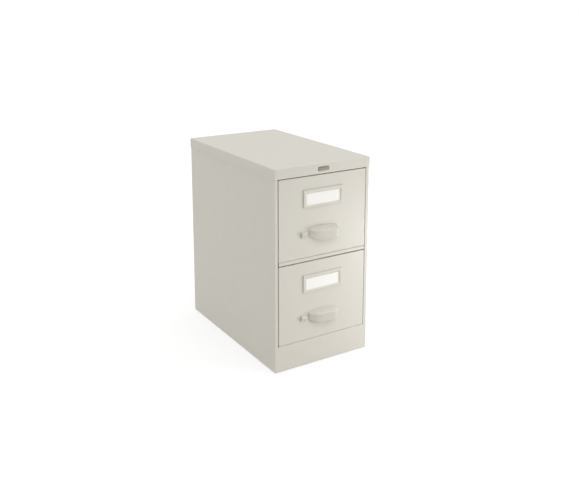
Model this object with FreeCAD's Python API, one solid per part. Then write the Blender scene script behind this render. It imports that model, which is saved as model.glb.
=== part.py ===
import FreeCAD, Part
import math
import os

# Two-drawer vertical filing cabinet in folded sheet steel, in millimetres.
# +Z is up, the drawer fronts face -Y and +X is the viewer's right. The origin
# is the middle of the base of the box round the whole cabinet.

# Case
case_width = 381.0
case_depth = 635.0
case_sheet = 0.9
frame_sheet = 1.2
bend_radius = 1.1
side_flange = 12.3
flange_return = 10.0
foot_height = 1.0
base_panel_height = 91.2
cross_rail_height = 12.7
cap_lip = 36.0
cap_corner = 4.0
cap_fit = 0.2
cap_hem = 11.0
rail_depth = 32.0
upright_depth = 12.6
upright_width = 60.0
brace_depth = 44.0
brace_height = 30.0
header_drop = 28.0
bead_width = 16.0
bead_depth = 2.6
bead_margin = 70.0
bead_pitch = 105.0
slot_width = 4.0
slot_height = 14.0
slot_pitch = 38.1

# Drawer heads and the gaps round them
head_height = 279.4
head_depth = 22.0
head_sheet = 0.8
head_corner = 1.6
side_gap = 3.0
right_gap = 1.8
open_gap = 3.2
tight_gap = 1.0
liner_flange = 12.0
liner_sheet = 0.6
liner_corner = 0.8
rail_fit = 1.5

# Drawer bodies
slide_space = 12.5
drawer_sheet = 0.8
drawer_clearance = 11.2
drawer_lift = 6.0
drawer_side = 254.0
drawer_back_height = 205.0
back_flange = 14.0
file_rail = 10.0
buffer_gap = 0.3
buffer_radius = 7.0
buffer_level = 60.0
buffer_spread = 105.0

# Telescopic slides, one pair per drawer
slide_level = 96.0
slide_height = 45.6
slide_overlap = 36.0
slide_sheet = 1.2
slide_bend = 0.6
slide_edge_gap = 0.5
slide_end_gap = 2.0
cage_sheet = 0.6
cage_fit = 0.2
cage_end_gap = 1.0
ball_diameter = 4.4
ball_fit = 0.1
ball_seat_fit = 0.15
balls_per_row = 5

# Pull
pull_width = 114.0
pull_foot = 55.0
pull_crown = 104.5
pull_rise = 6.0
pull_brow_drop = 8.0
pull_projection = 30.0
pull_wall = 9.0
pull_ceiling = 94.0
pull_ceiling_drop = 8.0
pull_left_shoulder = 24.0
pull_right_shoulder = 12.0
pull_bow = 240.0
pull_edge = 4.0
pull_screw_inset = 12.0
pull_screw_level = 94.4
screw_radius = 2.0
screw_head_radius = 4.0
screw_head_height = 2.4
screw_fit = 0.1
screw_reach = 8.0
screw_access = 6.5

# Thumb latch
tab_centre = -79.3
tab_width = 18.5
tab_top = 92.0
tab_height = 24.0
tab_depth = 11.0
tab_nose = 4.5
tab_slope = 4.5
tab_edge = 1.2
tab_fit = 0.3
stem_width = 6.0
stem_height = 8.0
latch_travel = 6.0
latch_reach = 2.0
bar_height = 14.0
bar_sheet = 2.0
bar_fit = 0.5
bar_inner_end = -60.0
keeper_sheet = 2.0
keeper_height = 34.0
spring_sheet = 0.5
spring_arm = 16.0
spring_height = 10.0
spring_spread = 9.0

# Label holder and card
label_width = 160.0
label_height = 61.0
label_level = 203.5
label_depth = 4.6
label_side_band = 13.0
label_top_band = 13.5
label_bottom_band = 8.0
label_bevel = 1.2
mouth_bevel = 1.0
card_thickness = 0.6
card_pocket = 0.8
card_fit = 0.2
card_overlap = 4.0

# Badge
badge_width = 44.0
badge_height = 14.0
badge_depth = 1.4
badge_border = 1.0
badge_recess = 0.4
badge_corner = 4.0
badge_offset = -1.5
badge_rise = 17.0

# Follower behind the files
channel_width = 20.0
channel_height = 4.0
channel_slot = 8.0
channel_bend = 0.2
channel_margin = 16.0
follower_width = 296.0
follower_top = 232.0
follower_setback = 100.0
follower_foot = 84.0
follower_foot_width = 110.0
follower_edge = 13.0
follower_fit = 0.3
key_length = 36.0
key_width = 14.0
ear_height = 20.0
ear_length = 16.0
ear_spread = 36.0
ear_flat = 0.2
pin_radius = 2.0
pin_fit = 0.08
lever_barrel = 4.5
lever_sheet = 1.6
lever_lean = 20.0
lever_rise = 46.0
lever_pad = 12.0
lever_clear = 0.5

# Glides
glide_radius = 12.0
glide_stem = 3.0
glide_stem_fit = 0.2
glide_button = 6.0
glide_button_height = 2.0
glide_spread = 150.0
glide_inset = 16.0

# Heights, floor upwards
base_top = foot_height + base_panel_height
lower_base = base_top + tight_gap
rail_bottom = lower_base + head_height + open_gap
rail_top = rail_bottom + cross_rail_height
upper_base = rail_top + tight_gap
lip_bottom = upper_base + head_height + open_gap
case_height = lip_bottom + cap_lip
cap_under = case_height - case_sheet

# Half widths
case_half = case_width / 2
flange_edge = case_half - side_flange
head_half = flange_edge - side_gap
head_right = flange_edge - right_gap
panel_inside = case_half - case_sheet
bay_half = panel_inside - upright_depth
drawer_half = bay_half - slide_space

# Depths, front to back
cap_overhang = 2 * case_sheet + cap_fit
front = (pull_projection - case_depth - cap_overhang) / 2
rear = front + case_depth
return_end = front + flange_return
rail_back = front + rail_depth
head_back = front + head_depth
back_face = rear - 2 * case_sheet
drawer_end = back_face - drawer_clearance
slide_start = head_back + slide_end_gap
slide_length = drawer_end - slide_end_gap - slide_start
slide_travel = slide_length - slide_overlap

# Latch, measured from a head's lower edge
latch_level = tab_top - tab_height / 2
bar_face = return_end + keeper_sheet + bar_fit
bar_back = bar_face + bar_sheet

BASES = {"upper": upper_base, "lower": lower_base}
ALONG_X = FreeCAD.Vector(1, 0, 0)
ALONG_Y = FreeCAD.Vector(0, 1, 0)
ALONG_Z = FreeCAD.Vector(0, 0, 1)
MIDDLE = FreeCAD.Vector(0, 0, 0)
OVERCUT = 1.0


def box(x0, x1, y0, y1, z0, z1):
    """A box between the given planes."""
    return Part.makeBox(x1 - x0, y1 - y0, z1 - z0, FreeCAD.Vector(x0, y0, z0))


def edges_along(shape, *axes):
    """The straight edges of a shape that run along any of the axes."""
    chosen = []
    for edge in shape.Edges:
        run = edge.Vertexes[-1].Point - edge.Vertexes[0].Point
        if run.Length > 0 and any(abs(run.normalize().dot(axis)) > 0.999 for axis in axes):
            chosen.append(edge)
    return chosen


def rod(radius, start, run):
    """A cylinder from the start point along the run."""
    return Part.makeCylinder(radius, run.Length, start, run)


def mirrored(shape):
    """The same shape on the other side of the cabinet."""
    return shape.mirror(MIDDLE, ALONG_X)


def group(shapes):
    """Separate solids that share one node."""
    return Part.makeCompound(shapes)


def fused(shapes):
    """One solid from several that meet."""
    return shapes[0].fuse(shapes[1:]).removeSplitter()


def rounded_corner(x, y, radius, z0, z1):
    """What rounding takes off an upright edge at the low x, low y corner of a piece."""
    square = box(x - OVERCUT, x + radius, y - OVERCUT, y + radius, z0, z1)
    return square.cut(rod(radius, FreeCAD.Vector(x + radius, y + radius, z0), ALONG_Z * (z1 - z0)))


def point_towards(start, end, distance):
    """The point at a distance from start on the line to end."""
    return start + (end - start).normalize() * distance


def rounded_path(points, radii):
    """Lines through flat points, with a tangent arc at each inner point."""
    edges = []
    start = points[0]
    for before, corner, after, radius in zip(points, points[1:], points[2:], radii):
        half_turn = (corner - before).getAngle(after - corner) / 2
        set_back = radius * math.tan(half_turn)
        enter = point_towards(corner, before, set_back)
        leave = point_towards(corner, after, set_back)
        crest_depth = radius / math.cos(half_turn) - radius
        crest = point_towards(corner, (enter + leave) / 2, crest_depth)
        edges.append(Part.LineSegment(start, enter).toShape())
        edges.append(Part.Arc(enter, crest, leave).toShape())
        start = leave
    edges.append(Part.LineSegment(start, points[-1]).toShape())
    return edges


def left_of(run):
    """The unit vector to the left of a flat run."""
    return FreeCAD.Vector(-run.y, run.x, 0).normalize()


def offset_points(points, distance):
    """The corners of the same path moved to its left."""
    runs = [after - before for before, after in zip(points, points[1:])]
    moved = [points[0] + left_of(runs[0]) * distance]
    for corner, arriving, leaving in zip(points[1:], runs, runs[1:]):
        mitre = left_of(arriving) + left_of(leaving)
        reach = 2 * distance / mitre.Length
        moved.append(corner + mitre.normalize() * reach)
    moved.append(points[-1] + left_of(runs[-1]) * distance)
    return moved


def sheet_section(pairs, thickness, radius=bend_radius):
    """The section of a folded sheet. The path is one face, and the metal lies to its left."""
    points = [FreeCAD.Vector(a, b, 0) for a, b in pairs]
    other = offset_points(points, thickness)
    near = []
    far = []
    for before, corner, after in zip(points, points[1:], points[2:]):
        turns_left = (corner - before).cross(after - corner).z > 0
        near.append(radius + thickness if turns_left else radius)
        far.append(radius if turns_left else radius + thickness)
    edges = rounded_path(points, near)
    edges.append(Part.LineSegment(points[-1], other[-1]).toShape())
    edges += rounded_path(other[::-1], far[::-1])
    edges.append(Part.LineSegment(other[0], points[0]).toShape())
    return Part.Face(Part.Wire(edges))


def folded_upright(pairs, thickness, z0, z1, radius=bend_radius):
    """A folded sheet whose section lies in X and Y."""
    face = sheet_section(pairs, thickness, radius)
    return face.translated(ALONG_Z * z0).extrude(ALONG_Z * (z1 - z0))


def folded_across(pairs, thickness, x0, x1, radius=bend_radius):
    """A folded sheet whose section lies in Y and Z."""
    solid = folded_upright(pairs, thickness, x0, x1, radius)
    return solid.rotate(MIDDLE, FreeCAD.Vector(1, 1, 1), 120)


def folded_lengthwise(pairs, thickness, y0, y1, radius=bend_radius):
    """A folded sheet whose section lies in X and Z."""
    solid = folded_upright(pairs, thickness, -y1, -y0, radius)
    return solid.rotate(MIDDLE, ALONG_X, 90)


def tray(limits, skin, radius, open_at):
    """A thin tray with rounded edges. It is open on the low or high Y side."""
    x0, x1, y0, y1, z0, z1 = limits
    outer = box(*limits)
    open_y = y1 if open_at == "rear" else y0
    closed = [edge for edge in outer.Edges if abs(edge.CenterOfMass.y - open_y) > skin]
    outer = outer.makeFillet(radius, closed)
    front_skin = 0 if open_at == "front" else skin
    rear_skin = 0 if open_at == "rear" else skin
    hollow = box(x0 + skin, x1 - skin, y0 + front_skin, y1 - rear_skin, z0 + skin, z1 - skin)
    closed = [edge for edge in hollow.Edges if abs(edge.CenterOfMass.y - open_y) > skin]
    return outer.cut(hollow.makeFillet(radius - skin, closed))


def top_cap():
    """The pan-shaped top. Its lip is hemmed inwards, so its lower edge is two sheets thick."""
    x1 = case_half + cap_overhang
    y0 = front - cap_overhang
    y1 = rear + cap_overhang

    def block(skin, z0, z1, crowned):
        """A block one skin in from the outside, with rounded upright edges and perhaps a rounded crown."""
        shape = box(skin - x1, x1 - skin, y0 + skin, y1 - skin, z0, z1)
        upright = edges_along(shape, ALONG_Z)
        crown = [edge for edge in shape.Edges if edge.BoundBox.ZMin > z1 - OVERCUT]
        return shape.makeFillet(cap_corner - skin, upright + crown if crowned else upright)

    cap = block(0, lip_bottom, case_height, True)
    cap = cap.cut(block(case_sheet, lip_bottom + cap_hem, cap_under, True))
    return cap.cut(block(2 * case_sheet, lip_bottom - cap_hem, lip_bottom + cap_hem, False))


def side_panel():
    """The right side: one sheet with a flange on all four edges and a return inside the front one."""
    skin = case_sheet
    floor_z = foot_height + skin
    roof_z = cap_under - skin
    outer = box(flange_edge, case_half, front, rear, foot_height, cap_under)
    folds = [edge for edge in outer.Edges if edge.CenterOfMass.x > flange_edge + skin]
    outer = outer.makeFillet(bend_radius + skin, folds)
    hollow = box(flange_edge + skin, panel_inside, front + skin, rear - skin, floor_z, roof_z)
    folds = [edge for edge in hollow.Edges if edge.CenterOfMass.x > flange_edge + 2 * skin]
    hollow = hollow.makeFillet(bend_radius, folds)
    mouth = box(flange_edge - OVERCUT, flange_edge + 2 * skin, return_end, rear - skin, floor_z, roof_z)
    panel = outer.cut(hollow).cut(mouth)
    return panel.cut(rounded_corner(flange_edge, front, bend_radius, base_top, cap_under))


def back_panel():
    """The back, with upright stiffening beads pressed inwards."""
    floor_z = foot_height + case_sheet + bend_radius
    roof_z = cap_under - case_sheet - bend_radius
    outside = rear - case_sheet
    half = panel_inside - bend_radius
    panel = box(-half, half, back_face, outside, floor_z, roof_z)
    z0 = floor_z + bead_margin
    z1 = roof_z - bead_margin
    rise = bead_depth
    radius = (bead_width**2 / 4 + rise**2) / (2 * rise)
    for index in (-1, 0, 1):
        x = index * bead_pitch
        centre_y = back_face - rise + radius
        ridge = rod(radius, FreeCAD.Vector(x, centre_y, z0), ALONG_Z * (z1 - z0))
        ridge = ridge.common(box(x - bead_width, x + bead_width, back_face - rise, outside, z0, z1))
        start = FreeCAD.Vector(x, centre_y, z0 + case_sheet)
        groove = rod(radius - case_sheet, start, ALONG_Z * (z1 - z0 - 2 * case_sheet))
        panel = panel.fuse(ridge).cut(groove)
    return panel.removeSplitter()


def base_panel():
    """The toe panel, flush with the side flanges, with a shelf at the top and a foot at the bottom."""
    pairs = [(rail_back, base_top), (front, base_top), (front, foot_height), (rail_back, foot_height)]
    panel = folded_across(pairs, case_sheet, -flange_edge, flange_edge)
    for x in (-glide_spread, glide_spread):
        panel = panel.cut(stem_hole(x, front + glide_inset))
    return panel


def stem_hole(x, y):
    """The hole that a glide's stem passes through."""
    start = FreeCAD.Vector(x, y, foot_height - OVERCUT)
    return rod(glide_stem + glide_stem_fit, start, ALONG_Z * (frame_sheet + 2 * OVERCUT))


def cross_rail():
    """The flush rail between the drawers. Its ends step back behind the side flanges to the uprights."""
    pairs = [(rail_back, rail_top), (front, rail_top), (front, rail_bottom), (rail_back, rail_bottom)]
    rail_end = panel_inside - rail_fit
    rail = folded_across(pairs, frame_sheet, -rail_end, rail_end)
    notch = box(
        head_half,
        case_half,
        front - OVERCUT,
        return_end + rail_fit,
        rail_bottom - OVERCUT,
        rail_top + OVERCUT,
    )
    return rail.cut(notch).cut(mirrored(notch))


def top_header():
    """The cross member behind the cap's front lip, which carries the top."""
    low = cap_under - header_drop
    pairs = [(rail_back, low), (rail_back, cap_under), (front, cap_under), (front, low)]
    return folded_across(pairs, frame_sheet, -flange_edge, flange_edge)


def bottom_brace():
    """The folded cross member at the rear of the base."""
    brace_front = back_face - brace_depth
    top = foot_height + brace_height
    pairs = [(brace_front, top), (brace_front, foot_height), (back_face, foot_height), (back_face, top)]
    brace = folded_across(pairs, frame_sheet, -bay_half, bay_half)
    for x in (-glide_spread, glide_spread):
        brace = brace.cut(stem_hole(x, glide_rear()))
    return brace


def glide_rear():
    """How far back the rear glides stand: the middle of the brace."""
    return back_face - brace_depth / 2


def upright(y0):
    """A right-hand channel that stands on the side panel's flange and carries the slides."""
    y1 = y0 + upright_width
    z0 = foot_height + case_sheet + bend_radius
    z1 = cap_under - case_sheet - bend_radius
    pairs = [(panel_inside, y0), (bay_half, y0), (bay_half, y1), (panel_inside, y1)]
    channel = folded_upright(pairs[::-1], frame_sheet, z0, z1)
    count = int((z1 - z0) / slot_pitch) - 1
    first = (z0 + z1) / 2 - (count - 1) * slot_pitch / 2
    for y in (y0 + upright_width / 4, y1 - upright_width / 4):
        for index in range(count):
            z = first + index * slot_pitch
            slot = box(
                bay_half - OVERCUT,
                bay_half + frame_sheet + OVERCUT,
                y - slot_width / 2,
                y + slot_width / 2,
                z - slot_height / 2,
                z + slot_height / 2,
            )
            channel = channel.cut(slot)
    return channel


def corner_glides():
    """Nylon glides, each with a stem through the base and a button that keeps it there."""
    glides = []
    for x in (-glide_spread, glide_spread):
        for y, sheet in ((front + glide_inset, case_sheet), (glide_rear(), frame_sheet)):
            start = FreeCAD.Vector(x, y, 0)
            top = foot_height + sheet
            disc = rod(glide_radius, start, ALONG_Z * foot_height)
            stem = rod(glide_stem, start, ALONG_Z * (top + glide_button_height))
            button = rod(glide_button, start + ALONG_Z * top, ALONG_Z * glide_button_height)
            glides.append(fused([disc, stem, button]))
    return group(glides)


def badge_plate():
    """A bare plate with round corners and a raised border, on the cap's front lip."""
    face = front - cap_overhang
    middle_z = lip_bottom + badge_rise

    def lozenge(inset, y0, y1):
        """The plate's round-cornered outline, made smaller by an inset."""
        half_w = badge_width / 2 - inset
        half_h = badge_height / 2 - inset
        x0 = badge_offset - half_w
        x1 = badge_offset + half_w
        shape = box(x0, x1, y0, y1, middle_z - half_h, middle_z + half_h)
        return shape.makeFillet(badge_corner - inset, edges_along(shape, ALONG_Y))

    plate = lozenge(0, face - badge_depth, face)
    recess = lozenge(badge_border, face - badge_depth - OVERCUT, face - badge_depth + badge_recess)
    return plate.cut(recess)


def latch_keepers():
    """Brackets behind the left flange that the latch bars catch on."""
    keepers = []
    for base in BASES.values():
        z = base + latch_level
        half = keeper_height / 2
        keepers.append(
            box(-panel_inside, -flange_edge, return_end, return_end + keeper_sheet, z - half, z + half)
        )
    return group(keepers)


def drawer_buffers():
    """Rubber buffers on the back panel, just clear of the closed drawers."""
    buffers = []
    for base in BASES.values():
        for x in (-buffer_spread / 2, buffer_spread / 2):
            start = FreeCAD.Vector(x, drawer_end + buffer_gap, base + buffer_level)
            buffers.append(rod(buffer_radius, start, ALONG_Y * (back_face - start.y)))
    return group(buffers)


# Slide section, from the bay wall inwards (u) and from the slide's middle line upwards (v)
race_gap = ball_diameter + 2 * ball_fit
case_flange = slide_height / 2 - slide_sheet
mid_flange = case_flange - race_gap - slide_sheet
drawer_flange = mid_flange - race_gap - slide_sheet
outer_cage_web = slide_sheet + cage_fit
mid_web = outer_cage_web + cage_sheet + cage_fit
inner_cage_web = mid_web + slide_sheet + cage_fit
drawer_edge = inner_cage_web + cage_sheet + cage_fit
case_ball_row = case_flange - race_gap / 2
drawer_ball_row = mid_flange - race_gap / 2
ball_line = (drawer_edge + slide_space - slide_sheet) / 2
cage_edge = slide_space - slide_sheet - cage_fit
cage_length = slide_length - slide_travel / 2 - 2 * cage_end_gap
ball_pitch = cage_length / balls_per_row


def slide_channel(web, edge, half, y0, length, thickness, outward):
    """A right-hand channel of a slide. Its flanges point to the drawer, or to the case if outward."""
    x_web = bay_half - web
    x_edge = bay_half - edge
    pairs = [(x_edge, half), (x_web, half), (x_web, -half), (x_edge, -half)]
    if not outward:
        pairs = pairs[::-1]
    return folded_lengthwise(pairs, thickness, y0, y0 + length, slide_bend)


def case_slide():
    """The fixed member, against the uprights."""
    half = case_flange + slide_sheet
    edge = slide_space - slide_sheet + cage_fit
    return slide_channel(0, edge, half, slide_start, slide_length, slide_sheet, False)


def mid_slide():
    """The member between, which follows the drawer at half its speed."""
    half = mid_flange + slide_sheet
    edge = slide_space - slide_edge_gap
    return slide_channel(mid_web, edge, half, slide_start, slide_length, slide_sheet, False)


def drawer_slide():
    """The member on the drawer's side, open towards the case."""
    half = drawer_flange + slide_sheet
    length = slide_length + slide_end_gap
    return slide_channel(slide_space, drawer_edge, half, head_back, length, slide_sheet, True)


def ball_cage(web, row):
    """A right-hand ball cage: a channel of thin strip with a ball in each of its holes."""
    middle_y = slide_start + slide_length / 2
    half = row + cage_sheet / 2
    start = middle_y - cage_length / 2
    cage = slide_channel(web, cage_edge, half, start, cage_length, cage_sheet, False)
    balls = []
    for side in (-1, 1):
        for index in range(balls_per_row):
            y = middle_y + (index - (balls_per_row - 1) / 2) * ball_pitch
            centre = FreeCAD.Vector(bay_half - ball_line, y, side * row)
            low = centre - ALONG_Z * OVERCUT
            seat = rod(ball_diameter / 2 + ball_seat_fit, low, ALONG_Z * 2 * OVERCUT)
            cage = cage.cut(seat)
            balls.append(Part.makeSphere(ball_diameter / 2, centre))
    return [cage] + balls


def both_sides(shapes):
    """Right-hand solids and their left-hand copies in one node."""
    return group(shapes + [mirrored(shape) for shape in shapes])


def at_slide(shape):
    """Lift a slide piece to its line on a drawer whose head starts at zero."""
    return shape.translated(ALONG_Z * slide_level)


def head():
    """The outer front of a drawer, with slots for the latch and holes for the pull's screws."""
    limits = [-head_half, head_right, front, head_back, 0, head_height]
    panel = tray(limits, head_sheet, head_corner, "rear")
    slot = box(
        tab_centre - stem_width / 2 - latch_travel - tab_fit,
        tab_centre + stem_width / 2 + tab_fit,
        front - OVERCUT,
        front + head_sheet + OVERCUT,
        latch_level - stem_height / 2 - tab_fit,
        latch_level + stem_height / 2 + tab_fit,
    )
    panel = panel.cut(slot).cut(bar_slot(OVERCUT))
    for x in (-screw_spread, screw_spread):
        start = FreeCAD.Vector(x, front - OVERCUT, pull_screw_level)
        panel = panel.cut(rod(screw_radius + screw_fit, start, ALONG_Y * (head_sheet + 2 * OVERCUT)))
    return panel


def bar_slot(extra):
    """The slot through the left edge of a head that the latch bar slides in."""
    return box(
        -head_half - extra,
        -head_half + 2 * head_sheet + extra,
        bar_face - bar_fit,
        bar_back + bar_fit,
        latch_level - bar_height / 2 - bar_fit,
        latch_level + bar_height / 2 + bar_fit,
    )


def head_liner():
    """The inner panel that closes a head, with holes to reach the pull's screws."""
    limits = [
        head_sheet - head_half,
        head_right - head_sheet,
        head_back - liner_flange,
        head_back,
        head_sheet,
        head_height - head_sheet,
    ]
    panel = tray(limits, liner_sheet, liner_corner, "front").cut(bar_slot(OVERCUT))
    for x in (-screw_spread, screw_spread):
        start = FreeCAD.Vector(x, head_back - liner_flange / 2, pull_screw_level)
        panel = panel.cut(rod(screw_access, start, ALONG_Y * liner_flange))
    return panel


def drawer_body():
    """The bottom and both sides in one sheet. The side tops fold in to carry hanging folders."""
    low = drawer_lift
    high = drawer_lift + drawer_side
    lip_x = drawer_half - file_rail
    lip_z = high - file_rail
    pairs = [
        (-lip_x, lip_z),
        (-lip_x, high),
        (-drawer_half, high),
        (-drawer_half, low),
        (drawer_half, low),
        (drawer_half, high),
        (lip_x, high),
        (lip_x, lip_z),
    ]
    return folded_lengthwise(pairs, drawer_sheet, head_back, drawer_end)


def drawer_back():
    """The back of a drawer, with side flanges that meet the drawer's sides and a folded top edge."""
    half = drawer_half - drawer_sheet
    flange_y = drawer_end - back_flange
    floor_z = drawer_lift + drawer_sheet + bend_radius
    top = floor_z + drawer_back_height
    pairs = [(half, flange_y), (half, drawer_end), (-half, drawer_end), (-half, flange_y)]
    wall = folded_upright(pairs, drawer_sheet, floor_z, top)
    edge = box(
        bend_radius + drawer_sheet - half,
        half - bend_radius - drawer_sheet,
        flange_y,
        drawer_end - drawer_sheet,
        top - drawer_sheet,
        top,
    )
    return fused([wall, edge])


def label_holder():
    """A raised frame with a bevelled outside and a pocket behind it for the card."""
    half_w = label_width / 2
    half_h = label_height / 2
    face = front - label_depth
    frame = box(-half_w, half_w, face, front, label_level - half_h, label_level + half_h)
    rim = [edge for edge in frame.Edges if edge.BoundBox.YMax < front - OVERCUT]
    frame = frame.makeChamfer(label_bevel, rim).cut(label_window(0, face - OVERCUT, front + OVERCUT))
    mouth = label_window(mouth_bevel, face - OVERCUT, front + OVERCUT)
    inside = mouth.BoundBox
    edges = [
        edge
        for edge in frame.Edges
        if edge.BoundBox.YMax < face + card_fit and inside.isInside(edge.CenterOfMass)
    ]
    frame = frame.makeChamfer(mouth_bevel, edges)
    return frame.cut(label_window(card_overlap + card_fit, front - card_pocket, front))


def label_window(margin, y0, y1):
    """The holder's opening between two planes, grown all round by a margin."""
    half_w = label_width / 2 - label_side_band + margin
    low = label_level - label_height / 2 + label_bottom_band - margin
    high = label_level + label_height / 2 - label_top_band + margin
    return box(-half_w, half_w, y0, y1, low, high)


def label_card():
    """The card, held behind the holder's opening."""
    return label_window(card_overlap, front - card_thickness, front)


screw_spread = pull_width / 2 - pull_screw_inset
bow_y = front - pull_projection + pull_bow


def shoulder_points(side, shoulder, inset):
    """One end of the pull from above, one inset in: its leg, its turn, the turn's middle and the bow's end."""
    half = pull_width / 2 - inset
    radius = shoulder - inset
    bow = pull_bow - inset
    centre_x = side * (half - radius)
    centre = FreeCAD.Vector(centre_x, bow_y - math.sqrt((bow - radius) ** 2 - centre_x**2), 0)
    meet = point_towards(FreeCAD.Vector(0, bow_y, 0), centre, bow)
    turn = FreeCAD.Vector(side * half, centre.y, 0)
    middle = point_towards(centre, (meet + turn) / 2, radius)
    return FreeCAD.Vector(side * half, front, 0), turn, middle, meet


def pull_plan(inset):
    """The pull from above: against the head, with a slow bow. Its left end is rounder, to clear the thumb."""
    right_leg, right_turn, right_middle, right_meet = shoulder_points(1, pull_right_shoulder, inset)
    left_leg, left_turn, left_middle, left_meet = shoulder_points(-1, pull_left_shoulder, inset)
    crest = FreeCAD.Vector(0, front - pull_projection + inset, 0)
    edges = [
        Part.LineSegment(right_leg, right_turn).toShape(),
        Part.Arc(right_turn, right_middle, right_meet).toShape(),
        Part.Arc(right_meet, crest, left_meet).toShape(),
        Part.Arc(left_meet, left_middle, left_turn).toShape(),
        Part.LineSegment(left_turn, left_leg).toShape(),
        Part.LineSegment(left_leg, right_leg).toShape(),
    ]
    return Part.Face(Part.Wire(edges))


def under_arch(crown, fall):
    """All that lies under an arch across the pull. It starts at the head and comes down by the fall outwards."""
    half = pull_width / 2 + OVERCUT
    slope = fall / pull_projection
    start = ALONG_Y * (front + OVERCUT) + ALONG_Z * (slope * OVERCUT)
    middle = start + ALONG_Z * crown
    right = start + ALONG_Z * (crown - pull_rise) + ALONG_X * half
    left = start + ALONG_Z * (crown - pull_rise) - ALONG_X * half
    low_right = start + ALONG_X * half
    low_left = start - ALONG_X * half
    outline = [
        Part.Arc(left, middle, right).toShape(),
        Part.LineSegment(right, low_right).toShape(),
        Part.LineSegment(low_right, low_left).toShape(),
        Part.LineSegment(low_left, left).toShape(),
    ]
    reach = pull_projection + 2 * OVERCUT
    return Part.Face(Part.Wire(outline)).extrude(ALONG_Y * -reach - ALONG_Z * (slope * reach))


def pull():
    """A cast hood: bowed in plan, with a sloping arched roof and open below for the fingers."""
    block = pull_plan(0).translated(ALONG_Z * pull_foot).extrude(ALONG_Z * pull_crown)
    block = block.common(under_arch(pull_crown, pull_brow_drop))
    lengthwise = [
        edge
        for edge in block.Edges
        if edge.BoundBox.YMin < front - OVERCUT
        and edge.BoundBox.XLength + edge.BoundBox.YLength > OVERCUT
    ]
    hood = block.makeFillet(pull_edge, lengthwise)
    room = pull_plan(pull_wall).translated(ALONG_Z * (pull_foot - OVERCUT)).extrude(ALONG_Z * pull_crown)
    hood = hood.cut(room.common(under_arch(pull_ceiling, pull_ceiling_drop)))
    for x in (-screw_spread, screw_spread):
        start = FreeCAD.Vector(x, front + OVERCUT, pull_screw_level)
        hood = hood.cut(rod(screw_radius + screw_fit, start, ALONG_Y * -(screw_reach + 2 * OVERCUT)))
    return hood


def pull_screws():
    """The screws that hold a pull, from inside the head."""
    screws = []
    for x in (-screw_spread, screw_spread):
        inner = FreeCAD.Vector(x, front + head_sheet, pull_screw_level)
        shank = rod(screw_radius, inner, ALONG_Y * -(screw_reach + head_sheet))
        cap = rod(screw_head_radius, inner, ALONG_Y * screw_head_height)
        socket = rod(screw_radius, inner + ALONG_Y * screw_head_height / 2, ALONG_Y * screw_head_height)
        screws.append(fused([shank, cap]).cut(socket))
    return group(screws)


def thumb_latch():
    """The thumb tab, with a stem that reaches through the head to the latch bar."""
    back = front - tab_fit
    tip = back - tab_depth
    low = tab_top - tab_height
    nose_top = tab_top - tab_slope
    nose_low = nose_top - tab_nose
    corners = [(back, low), (back, tab_top), (tip, nose_top), (tip, nose_low), (back - tab_edge, low)]
    points = [FreeCAD.Vector(0, y, z) for y, z in corners]
    profile = Part.Face(Part.makePolygon(points + points[:1]))
    start = ALONG_X * (tab_centre - tab_width / 2)
    tab = profile.translated(start).extrude(ALONG_X * tab_width)
    shown = [edge for edge in tab.Edges if edge.BoundBox.YMin < tip + tab_fit]
    tab = tab.makeFillet(tab_edge, shown)
    stem = box(
        tab_centre - stem_width / 2,
        tab_centre + stem_width / 2,
        back - OVERCUT,
        bar_face,
        latch_level - stem_height / 2,
        latch_level + stem_height / 2,
    )
    return fused([tab, stem])


def latch_bar():
    """The sliding bar, stored drawn back with its tip just inside the left gap."""
    tip = -head_half - latch_reach
    low = latch_level - bar_height / 2
    bar = box(tip, bar_inner_end, bar_face, bar_back, low, low + bar_height)
    corners = [edge for edge in edges_along(bar, ALONG_Y) if edge.CenterOfMass.x < tip + OVERCUT]
    return bar.makeFillet(bar_sheet, corners)


def latch_spring():
    """A leaf spring that pushes the bar outwards. Its foot is on the liner."""
    foot_x = bar_inner_end + tab_fit + spring_spread
    foot_y = head_back - liner_sheet
    near_y = (bar_face + bar_back) / 2 - spring_sheet
    tip_x = bar_inner_end + tab_fit + spring_sheet
    pairs = [
        (foot_x + spring_arm, foot_y),
        (foot_x, foot_y),
        (tip_x, near_y + bar_sheet),
        (tip_x, near_y - bar_sheet),
    ]
    z0 = latch_level - spring_height / 2
    return folded_upright(pairs, spring_sheet, z0, z0 + spring_height, spring_sheet)


def follower_rail():
    """The slotted channel along the drawer's bottom that the follower runs on."""
    low = drawer_lift + drawer_sheet
    high = low + channel_height
    half = channel_width / 2
    slot = channel_slot / 2
    pairs = [(-slot, high), (-half, high), (-half, low), (half, low), (half, high), (slot, high)]
    y0 = head_back + channel_margin
    return folded_lengthwise(pairs, drawer_sheet, y0, drawer_end - channel_margin, channel_bend)


channel_top = drawer_lift + drawer_sheet + channel_height
foot_low = channel_top + follower_fit
foot_top = foot_low + frame_sheet
follower_face = drawer_end - follower_setback
pivot_y = follower_face + follower_foot / 2
pivot_z = foot_top + ear_height - ear_length / 2


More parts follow.
